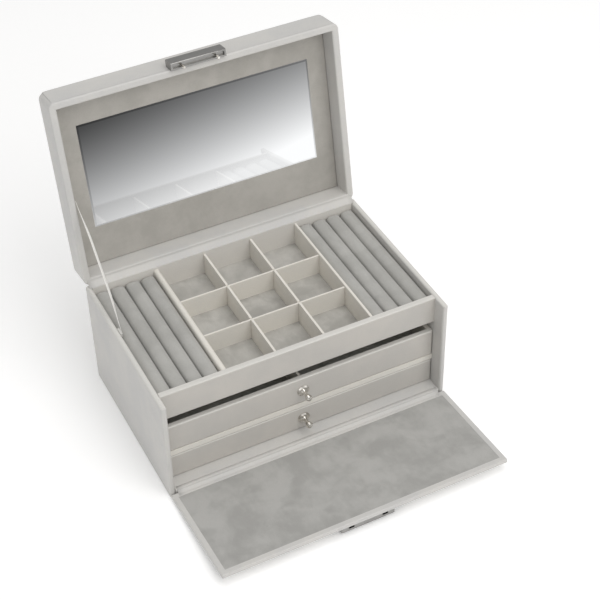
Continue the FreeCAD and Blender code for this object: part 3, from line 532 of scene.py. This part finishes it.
def workIn(piece, kind, **settings):
    # one modifier, made part of the mesh
    modifier = piece.modifiers.new("workedIn", kind)
    for key, setting in settings.items():
        setattr(modifier, key, setting)
    graph = bpy.context.evaluated_depsgraph_get()
    made = bpy.data.meshes.new_from_object(piece.evaluated_get(graph))
    piece.modifiers.clear()
    finish = piece.data.materials[0]
    piece.data = made
    made.materials.clear()
    made.materials.append(finish)
    made.polygons.foreach_set("use_smooth", [True] * len(made.polygons))


def subdivide(piece):
    workIn(piece, "SUBSURF", levels=1, render_levels=1)


clothPlan = {"quality": 5, "stiffness": 15, "ticks": 20}


def stuff(piece, pressure, cap, held=None):
    # cloth swollen by its filling; no point moves further than cap
    rest = [vertex.co.copy() for vertex in piece.data.vertices]
    cloth = piece.modifiers.new("filling", "CLOTH")
    cloth.settings.quality = clothPlan["quality"]
    cloth.settings.tension_stiffness = cloth.settings.compression_stiffness = clothPlan["stiffness"]
    cloth.settings.use_pressure = True
    cloth.settings.uniform_pressure_force = pressure
    cloth.settings.effector_weights.gravity = 0
    if held:
        group = piece.vertex_groups.new(name="held")
        kept = [vertex.index for vertex in piece.data.vertices if held(vertex.co)]
        group.add(kept, 1, "REPLACE")
        cloth.settings.vertex_group_mass = group.name
    cloth.point_cache.frame_start, cloth.point_cache.frame_end = 1, clothPlan["ticks"]
    for tick in range(1, clothPlan["ticks"] + 1):
        bpy.context.scene.frame_set(tick)
    swollen = piece.evaluated_get(bpy.context.evaluated_depsgraph_get())
    moved = [vertex.co.copy() for vertex in swollen.data.vertices]
    piece.modifiers.clear()
    piece.vertex_groups.clear()
    for vertex, old, new in zip(piece.data.vertices, rest, moved):
        step = new - old
        vertex.co = old + step * min(1, cap / max(step.length, 1e-9))
    bpy.context.scene.frame_set(1)


# ring rolls: velvet over a foam bar with a full, rounded top
rollPlan = {
    "perSide": 4, "slack": 0.3, "crown": 4.9, "fullness": 2.6, "rings": 24, "wallPoints": 6,
    "crownPoints": 15, "voxel": 2.4, "pressure": 3, "cap": 0.5, "clear": 0.03, "uneven": 0.25,
    "unevenScale": 45, "unevenSpread": 50,
}


def foamBar(low, high, plan):
    slack, crown, power = plan["slack"] * mm, plan["crown"] * mm, 2 / plan["fullness"]
    middle, half = (low.x + high.x) / 2, (high.x - low.x) / 2 - slack
    spring = high.z - slack - crown               # where the straight sides turn into the crown
    wall = steps(low.z, spring, plan["wallPoints"])[:-1]
    rings = []
    for y in steps(low.y + slack, high.y - slack, plan["rings"]):
        ring = [(middle - half, y, z) for z in wall]
        for a in steps(0, math.pi, plan["crownPoints"]):
            c, h = math.cos(a), math.sin(a)
            ring.append((middle - half * math.copysign(abs(c) ** power, c), y,
                         spring + crown * abs(h) ** power))
        ring += [(middle + half, y, z) for z in reversed(wall)]
        rings.append(ring)
    return rings


def ringRoll(node, plan):
    low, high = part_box(node)
    piece = meshPiece(node + "_pad", *skin(foamBar(low, high, plan)), finishes["roll"])
    outward(piece)
    workIn(piece, "REMESH", mode="VOXEL", voxel_size=plan["voxel"] * mm)
    stuff(piece, plan["pressure"], plan["cap"] * mm)
    subdivide(piece)
    clear, spread = plan["clear"] * mm, plan["unevenSpread"]
    seed = Vector((shuffle.uniform(0, spread), shuffle.uniform(0, spread), 0))
    for vertex in piece.data.vertices:
        wave = noise.noise(vertex.co * plan["unevenScale"] + seed) * plan["uneven"] * mm
        vertex.co.z += wave * soften((vertex.co.z - low.z) / (high.z - low.z))
        for i in range(3):
            vertex.co[i] = min(high[i] - clear, max(low[i] + clear, vertex.co[i]))
    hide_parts(node)
    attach(piece, "cabinet")


for side in ("left", "right"):
    for number in range(1, rollPlan["perSide"] + 1):
        ringRoll("%s_ring_roll_%d" % (side, number), rollPlan)
print("ring rolls stuffed")


# mirror: a bevelled plate let into the velvet
mirrorPlan = {"bevel": 1.5, "drop": 0.42}


def bevelledMirror(plan):
    low, high = boxIn(lidPlace, "lid_mirror")
    drop = plan["drop"] * mm
    rings = []
    for inset, z in ((0, high.z), (0, low.z + drop), (plan["bevel"] * mm, low.z)):
        rings.append([(low.x + inset, low.y + inset, z), (high.x - inset, low.y + inset, z),
                      (high.x - inset, high.y - inset, z), (low.x + inset, high.y - inset, z)])
    piece = meshPiece("lid_mirror_plate", *skin(rings), finishes["mirror"], False)
    piece.data.materials.append(finishes["mirrorEdge"])
    for face in piece.data.polygons:              # the bevel's own faces are halfway up the drop
        heights = [piece.data.vertices[i].co.z for i in face.vertices]
        if abs(sum(heights) / len(heights) - low.z - drop / 2) < drop / 4:
            face.material_index = 1
    outward(piece)
    piece.data.transform(lidPlace)
    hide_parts("lid_mirror")
    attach(piece, "lid")


bevelledMirror(mirrorPlan)
print("mirror set")


# hinge strips: thin leather glued to both sides of a hinge, bridging it
stripPlan = {"thick": 0.12, "lift": 0.07, "across": 40, "curlPoints": 5}
lidStripPlan = {"inset": 3.0, "onCase": (5.0, 4.4), "reach": 3.9, "onRim": 4.7, "flat": 5.2,
                "curl": 1.6, "curlTurn": 1.15, "sag": 0.12, "bridge": 9}
flapStripPlan = {"inset": 1.5, "onSill": (3.4, 1.5), "curl": 0.55, "foot": 3.67,
                 "onFlap": (0.5, 1.5, 2.6, 3.9), "bridge": 7}


def hingeStrip(name, line, halfWidth):
    # line is the strip's face, point by point from one board to the other
    rings, half = [], stripPlan["thick"] / 2 * mm
    for x in steps(-halfWidth, halfWidth, stripPlan["across"]):
        above, below = [], []
        for i, (y, z) in enumerate(line):
            ahead, behind = line[min(i + 1, len(line) - 1)], line[max(i - 1, 0)]
            along = Vector((0, ahead[0] - behind[0], ahead[1] - behind[1])).normalized()
            out = Vector((1, 0, 0)).cross(along)
            above.append(Vector((x, y, z)) + out * half)
            below.append(Vector((x, y, z)) - out * half)
        rings.append(above + below[::-1])
    piece = meshPiece(name, *skin(rings), finishes["pearl"])
    outward(piece)
    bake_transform(piece)


def bridgeOver(here, there, count):
    # the straight way between two ends, without the ends: share of the way, and point
    over, up = there[0] - here[0], there[1] - here[1]
    return [(share, (here[0] + over * share, here[1] + up * share))
            for share in steps(0, 1, count)[1:-1]]


def lidStrip(plan):
    axis = Vector(joints["lid_hinge"]["pos_m"])
    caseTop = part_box("back_panel")[1].z
    rim = boxIn(lidPlace, "lid_shell")[0].z
    lift, curl, flat = stripPlan["lift"] * mm, plan["curl"] * mm, plan["flat"] * mm

    def onRim(distance, turn=0):                  # turn: how far round the rim's inner curve
        point = lidPlace @ Vector((0, -distance - (curl + lift) * math.sin(turn),
                                   rim + curl - (curl + lift) * math.cos(turn)))
        return point.y, point.z

    caseEnd = (axis.y - plan["reach"] * mm, caseTop + lift)
    lidEnd = onRim(plan["reach"] * mm)
    line = [(axis.y - d * mm, caseTop + lift) for d in plan["onCase"]] + [caseEnd]
    for share, (y, z) in bridgeOver(caseEnd, lidEnd, plan["bridge"]):
        towardsPins = Vector((0, axis.y - y, axis.z - z)).normalized()
        sag = towardsPins * plan["sag"] * mm * math.sin(math.pi * share)
        line.append((y + sag.y, z + sag.z))
    line += [lidEnd, onRim(plan["onRim"] * mm)]
    line += [onRim(flat, turn) for turn in steps(0, plan["curlTurn"], stripPlan["curlPoints"])]
    hingeStrip("lid_hinge_strip", line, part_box("lid_shell")[1].x - plan["inset"] * mm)


def flapStrip(plan):
    axis = Vector(joints["flap_hinge"]["pos_m"])
    face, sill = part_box("base_board")[0].y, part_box("base_board")[1].z
    top = boxIn(flapPlace, "flap_board")[1].z
    lift, curl = stripPlan["lift"] * mm, plan["curl"] * mm

    def onFlap(distance):
        point = flapPlace @ Vector((0, -distance, top + lift))
        return point.y, point.z

    baseEnd = (face - lift, axis.z + plan["foot"] * mm)
    flapEnd, *flapRun = [onFlap(d * mm) for d in plan["onFlap"]]
    line = [(face + d * mm, sill + lift) for d in plan["onSill"]]
    line += [(face + curl - (curl + lift) * math.sin(turn),
              sill - curl + (curl + lift) * math.cos(turn))
             for turn in steps(0, math.pi / 2, stripPlan["curlPoints"])] + [baseEnd]
    line += [point for _, point in bridgeOver(baseEnd, flapEnd, plan["bridge"])]
    line += [flapEnd] + flapRun
    hingeStrip("flap_hinge_strip", line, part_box("base_board")[1].x - plan["inset"] * mm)


lidStrip(lidStripPlan)
flapStrip(flapStripPlan)
print("hinge strips glued")


# lid top: soft leather over a thin foam sheet, drawn down at its sides and under the handle's feet,
# and rolled over the lid's front edge
padPlan = {
    "cell": 4.2, "pressure": 3.2, "cap": 1.5, "rim": 1.0, "heldRim": 1.6, "foot": 12, "footIn": 7,
    "edgeRound": 3.2, "cornerRound": 6.0, "edgeThick": 1.15, "hemThick": 0.14, "thinning": 8,
    "hemAboveRim": 1.9, "lift": 0.04, "frontRows": 8, "bendRows": 7,
}


def padRows(low, high, plan):
    # each row: its underside (y, z) and its face (y, z), from the hem on the front to the back
    shellLow, shellHigh = boxIn(lidPlace, "lid_shell")
    bend, lift = plan["edgeRound"] * mm, plan["lift"] * mm
    thinning = plan["thinning"] * mm              # the foam thins out over this length of the front
    edge = shellHigh.z - bend
    rolled = []                                   # y, z, which way it faces, the foam's run so far
    for drop in steps(edge - shellLow.z - plan["hemAboveRim"] * mm, 0, plan["frontRows"])[:-1]:
        rolled.append((shellLow.y, edge - drop, math.pi, max(0, thinning - drop)))
    for turn in steps(math.pi, math.pi / 2, plan["bendRows"]):
        rolled.append((shellLow.y + bend + bend * math.cos(turn), edge + bend * math.sin(turn),
                       turn, thinning + bend * (math.pi - turn)))
    full, growth = rolled[-1][3], plan["edgeThick"] - plan["hemThick"]
    rows = []
    for y, z, turn, run in rolled:
        thick = (plan["hemThick"] + growth * soften(run / full)) * mm
        rows.append([(y + off * math.cos(turn), z + off * math.sin(turn)) for off in (lift, thick)])
    for y in steps(low.y, high.y, round((high.y - low.y) / (plan["cell"] * mm)))[1:]:
        rows.append(((y, low.z), (min(high.y - plan["rim"] * mm, y), high.z)))
    return rows


def padFaces(across, deep):
    # underside, face and the rim between them, over two layers of points
    faces, top = [], across * deep
    for j in range(deep - 1):
        for i in range(across - 1):
            a = j * across + i
            faces.append((a, a + across, a + across + 1, a + 1))
            faces.append((top + a, top + a + 1, top + a + across + 1, top + a + across))
    border = [i for i in range(across)] + [j * across + across - 1 for j in range(1, deep)]
    border += [(deep - 1) * across + i for i in reversed(range(across - 1))]
    border += [j * across for j in reversed(range(1, deep - 1))]
    return faces + [(a, b, top + b, top + a) for a, b in zip(border, border[1:] + border[:1])]


def lidPad(plan):
    low, high = boxIn(lidPlace, "lid_top_pad")
    feetLow, feetHigh = boxIn(lidPlace, "handle_brackets")
    feet = [Vector((x, (feetLow.y + feetHigh.y) / 2, high.z))
            for x in (feetLow.x + plan["footIn"] * mm, feetHigh.x - plan["footIn"] * mm)]
    across = round((high.x - low.x) / (plan["cell"] * mm))
    corner = plan["cornerRound"] * mm
    straight = boxIn(lidPlace, "lid_shell")[1].x - corner
    rows = padRows(low, high, plan)
    points = []
    for layer, inset in ((0, 0), (1, plan["rim"] * mm)):
        for row in rows:
            y, z = row[layer]
            for x in steps(low.x, high.x, across):
                x = min(high.x - inset, max(low.x + inset, x))
                past = max(0, abs(x) - straight)          # the lid's rounded corner falls back here
                fallen = corner - math.sqrt(corner * corner - past * past) if y < low.y else 0
                points.append((x, y + fallen, z))
    piece = meshPiece("lid_top_cushion", points, padFaces(across, len(rows)), finishes["pearl"])
    outward(piece)

    def held(point):
        edge = min(point.x - low.x, high.x - point.x, high.y - point.y)
        nearFoot = min((point - foot).length for foot in feet)
        return (point.z < (low.z + high.z) / 2 or edge < plan["heldRim"] * mm
                or nearFoot < plan["foot"] * mm)

    stuff(piece, plan["pressure"], plan["cap"] * mm, held)
    subdivide(piece)
    for vertex in piece.data.vertices:
        if vertex.co.y > low.y:
            vertex.co.z = max(vertex.co.z, low.z)
    piece.data.transform(lidPlace)
    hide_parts("lid_top_pad")
    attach(piece, "lid")


lidPad(padPlan)
print("lid top padded")


# bead round the back and the sides of the lid's top, where the leather of the rim turns over
beadPlan = {"inset": 2.35, "corner": 5.0, "cornerPoints": 7, "radius": 0.85, "sides": 10,
            "sunk": 0.25, "frontStop": 4.5, "pitch": 4}


def roundedRun(low, high, z, corner, count):
    # up the left side, round the back and down the right side
    path = [Vector((low.x, low.y, z))]
    cy = high.y - corner
    for cx, first in ((low.x + corner, math.pi), (high.x - corner, math.pi / 2)):
        for a in steps(first, first - math.pi / 2, count):
            path.append(Vector((cx + corner * math.cos(a), cy + corner * math.sin(a), z)))
    path.append(Vector((high.x, low.y, z)))
    return path


def fineRun(path, step):
    made = []
    for here, there in zip(path, path[1:]):
        parts = max(1, round((there - here).length / step))
        made += [here.lerp(there, i / parts) for i in range(parts)]
    return made + [path[-1]]


def lidBead(plan):
    low, high = boxIn(lidPlace, "lid_shell")
    inset = Vector((plan["inset"] * mm, plan["inset"] * mm, 0))
    start, end = low + inset, high - inset
    start.y = low.y + plan["frontStop"] * mm
    path = fineRun(roundedRun(start, end, high.z - plan["sunk"] * mm, plan["corner"] * mm,
                              plan["cornerPoints"]), plan["pitch"] * mm)
    radius = plan["radius"] * mm
    rings = []
    for i, point in enumerate(path):
        along = (path[min(i + 1, len(path) - 1)] - path[max(i - 1, 0)]).normalized()
        side = along.cross(Vector((0, 0, 1))).normalized()
        rise = side.cross(along)
        rings.append([point + (side * math.cos(a) + rise * math.sin(a)) * radius
                      for a in circle(plan["sides"])])
    piece = meshPiece("lid_edge_bead", *skin(rings), finishes["pearl"])
    outward(piece)
    piece.data.transform(lidPlace)
    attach(piece, "lid")


lidBead(beadPlan)
print("lid bead laid")


# handle: a padded bow with a raised ridge, its ends folded round the pins and sewn back
strapPlan = {
    "pinRadius": 1.5, "apexBelow": 2.5, "endThick": 1.3, "midThick": 4.6, "endWidth": 0.86,
    "wrapRadius": 2.35, "tail": 15, "tailLift": 0.2, "tailThin": 0.75, "blend": 26,
    "tailPoints": 8, "wrapPoints": 11, "blendPoints": 14, "bowPoints": 30,
    "flange": 2.4, "underBelly": 0.25, "underWidth": 0.94, "topWidth": 0.95, "sideHeight": 0.45,
    "ridge": 1.5, "ridgeWidth": 8.6, "ridgePower": 2.6, "ridgeFrom": 0.25, "ridgeSpeed": 1.4,
    "groove": 0.28, "grooveAt": 1.06, "grooveWidth": 0.12, "underPoints": 11, "topPoints": 27,
}
stitchPlan = {"inset": 1.5, "pitch": 2.7, "length": 1.9, "thick": 0.19, "proud": 0.05, "sides": 6,
              "arch": 3.2, "fullFrom": 0.5}
# along a stitch: how far from its middle, and how thick
stitchShape = ((-0.5, 0.35), (-0.36, 0.9), (0, 1), (0.36, 0.9), (0.5, 0.35))


def strapPath(plan):
    # centre line: from a sewn tail round a pin, over the bow, round the other pin to its tail
    pinLow, pinHigh = boxIn(lidPlace, "handle_pins")
    high = boxIn(lidPlace, "handle_strap")[1]
    pinZ = (pinLow.z + pinHigh.z) / 2
    half = pinHigh.x - plan["pinRadius"] * mm
    apex = high.z - plan["apexBelow"] * mm
    rise = apex - pinZ
    radius = (half ** 2 + rise ** 2) / (2 * rise)
    centreZ = apex - radius
    spread = math.asin(half / radius)
    wrap, endThick, endWidth = plan["wrapRadius"] * mm, plan["endThick"] * mm, plan["endWidth"]
    samples = []              # place, outward, thickness, share of the width, share of the ridge

    def onBow(angle, lift):
        out = Vector((math.sin(angle), 0, math.cos(angle)))
        return Vector((0, 0, centreZ)) + out * (radius + lift), out

    tail, blend = plan["tail"] * mm / radius, plan["blend"] * mm / radius
    for side in (-1, 1):
        run = []
        for share in steps(0, 1, plan["tailPoints"]):     # tail under the strap, out to the pin
            place, out = onBow(side * (spread - tail * (1 - share)),
                               -wrap - plan["tailLift"] * mm * (1 - share))
            thin = plan["tailThin"] + (1 - plan["tailThin"]) * share
            run.append((place, -out, endThick * thin, endWidth, 0))
        pin, out = onBow(side * spread, 0)
        away = Vector((out.z, 0, -out.x)) * side  # along the bow, outward past the pin
        for a in steps(-math.pi / 2, math.pi / 2, plan["wrapPoints"])[1:-1]:
            face = away * math.cos(a) + out * math.sin(a)
            run.append((pin + face * wrap, face, endThick, endWidth, 0))
        for share in steps(0, 1, plan["blendPoints"]):    # back over the pin and up the bow
            place, out = onBow(side * (spread - blend * share), wrap * (1 - soften(share)))
            thick = plan["endThick"] + (plan["midThick"] - plan["endThick"]) * soften(share)
            width = endWidth + (1 - endWidth) * soften(share)
            ridge = soften(share * plan["ridgeSpeed"] - plan["ridgeFrom"])
            run.append((place, out, thick * mm, width, ridge))
        if side < 0:
            samples = run
            for angle in steps(-spread + blend, spread - blend, plan["bowPoints"])[1:-1]:
                place, out = onBow(angle, 0)
                samples.append((place, out, plan["midThick"] * mm, 1, 1))
        else:
            samples += list(reversed(run))
    return samples


def strapRing(sample, low, high, plan):
    place, out, thick, widthShare, ridgeShare = sample
    half = (high.y - low.y) / 2 * widthShare
    middle = (high.y + low.y) / 2
    flange = min(thick, plan["flange"] * mm)
    top, under = thick / 2, -thick / 2
    shoulder, side = under + flange, under + flange * plan["sideHeight"]
    crest = (top + plan["ridge"] / 2 * mm - shoulder) * ridgeShare
    ring = []
    for v in steps(-1, 1, plan["underPoints"]):   # underside, slightly crowned
        ring.append((v * half * plan["underWidth"],
                     under - plan["underBelly"] * mm * (1 - v * v) * ridgeShare))
    ring.append((half, side))
    for v in steps(1, -1, plan["topPoints"]):     # ridge between two flat flanges
        reach = abs(v * half) / (plan["ridgeWidth"] * mm / 2)
        bulge = math.sqrt(max(0, 1 - min(1, reach) ** plan["ridgePower"]))
        dip = math.exp(-((reach - plan["grooveAt"]) / plan["grooveWidth"]) ** 2)
        level = max(shoulder + crest * bulge, shoulder) - plan["groove"] * mm * dip * ridgeShare
        ring.append((v * half * plan["topWidth"], level if ridgeShare > 0 else top))
    ring.append((-half, side))
    return [place + out * h + Vector((0, middle + v, 0)) for v, h in ring]


def stitch(middle, along, rise, plan):
    side = along.cross(rise).normalized()
    length, thick = plan["length"] * mm, plan["thick"] * mm
    rings = []
    for share, size in stitchShape:
        bend = rise * thick * (0.5 - plan["arch"] * share * share)
        centre = middle + along * length * share + bend
        rings.append([centre + (side * math.cos(a) + rise * math.sin(a)) * thick * size
                      for a in circle(plan["sides"])])
    return skin(rings)


def seams(samples, low, high, plan):
    # a row of stitches along each flange of the bow
    half, middle = (high.y - low.y) / 2, (high.y + low.y) / 2
    bow = [sample for sample in samples if sample[4] > plan["fullFrom"]]
    points, faces, carried = [], [], 0
    for (place, out, thick, widthShare, _), (nextPlace, *_) in zip(bow, bow[1:]):
        length = (nextPlace - place).length
        along = (nextPlace - place).normalized()
        flange = min(thick, strapPlan["flange"] * mm)
        while carried < length:
            level = place.lerp(nextPlace, carried / length)
            level = level + out * (flange - thick / 2 + plan["proud"] * mm)
            for side in (-1, 1):
                offset = side * (half * widthShare - plan["inset"] * mm)
                some, more = stitch(level + Vector((0, middle + offset, 0)), along, out, plan)
                faces += [tuple(i + len(points) for i in face) for face in more]
                points += some
            carried += plan["pitch"] * mm
        carried -= length
    return points, faces


def handleStrap(plan):
    low, high = boxIn(lidPlace, "handle_strap")
    samples = strapPath(plan)
    rings = [strapRing(sample, low, high, plan) for sample in samples]
    piece = meshPiece("handle_strap_padded", *skin(rings), finishes["pearl"])
    outward(piece)
    subdivide(piece)
    thread = meshPiece("handle_stitching", *seams(samples, low, high, stitchPlan),
                       finishes["thread"])
    for made in (piece, thread):
        made.data.transform(lidPlace)
    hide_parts("handle_strap")
    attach(piece, "lid")
    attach(thread, "lid")


handleStrap(strapPlan)
print("handle sewn")


# stay ribbon: woven tape from the case to the lid, lying flat on the leather at both ends
ribbonPlan = {
    "width": 4.2, "thick": 0.35, "along": 72, "hang": 0.5, "turn": 78, "ease": 26, "offWall": 0.35,
    "freeFrom": 0.3, "wallShare": 0.22, "caseIn": (0.3, 0.4), "lidIn": (0.3, 0.3),
}
# across the tape: how far from its middle, and which face
tapeShape = ((-1, 0), (-0.94, 1), (-0.5, 1), (0, 1), (0.5, 1), (0.94, 1),
             (1, 0), (0.94, -1), (0.5, -1), (0, -1), (-0.5, -1), (-0.94, -1))


def stayRibbon(plan):
    low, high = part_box("stay_ribbon")
    wall, middleX = low.x + plan["offWall"] * mm, (low.x + high.x) / 2
    caseEnd = Vector((middleX, low.y + plan["caseIn"][0] * mm, low.z + plan["caseIn"][1] * mm))
    lidEnd = Vector((middleX, high.y - plan["lidIn"][0] * mm, high.z - plan["lidIn"][1] * mm))
    run = lidEnd - caseEnd
    face = run.cross(Vector((1, 0, 0))).normalized()
    rings = []
    for share in steps(0, 1, plan["along"]):
        free = soften(min(share, 1 - share) / plan["freeFrom"])   # 0 at the ends, 1 where it hangs
        turn = math.radians(plan["turn"] - plan["ease"] * free)
        across = Vector((1, 0, 0)) * math.cos(turn) + face * math.sin(turn)
        out = face * math.cos(turn) - Vector((1, 0, 0)) * math.sin(turn)
        middle = caseEnd + run * share + face * plan["hang"] * mm * math.sin(math.pi * share)
        middle.x = wall + (middleX - wall) * (plan["wallShare"] + (1 - plan["wallShare"]) * free)
        rings.append([middle + across * v * plan["width"] / 2 * mm
                      + out * h * plan["thick"] / 2 * mm for v, h in tapeShape])
    piece = meshPiece("stay_ribbon_tape", *skin(rings), finishes["ribbon"])
    outward(piece)
    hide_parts("stay_ribbon")
    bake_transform(piece)


stayRibbon(ribbonPlan)
print("ribbon tied")


# plain pale floor under everything
floorPlan = {"size": 14, "points": 9, "glow": 0.15, "haze": (3, 2), "rough": 0.85,
             "hazeRough": 0.05}


def paleFloor(plan):
    count, size = plan["points"], plan["size"]
    spots = steps(-size / 2, size / 2, count)
    points = [(x, y, 0) for y in spots for x in spots]
    faces = [(j * count + i, j * count + i + 1, (j + 1) * count + i + 1, (j + 1) * count + i)
             for j in range(count - 1) for i in range(count - 1)]
    made = Finish("paleFloor", Specular_IOR_Level=0.1, Emission_Color=(1, 1, 1, 1),
                  Emission_Strength=plan["glow"])
    haze = made.cloud(*plan["haze"])
    made.paint(Base_Color=made.mixed(haze, shade(255, 255, 255), shade(252, 252, 252)),
               Roughness=plan["rough"] + haze * plan["hazeRough"])
    floor = meshPiece("floor", points, faces, made.material)


paleFloor(floorPlan)
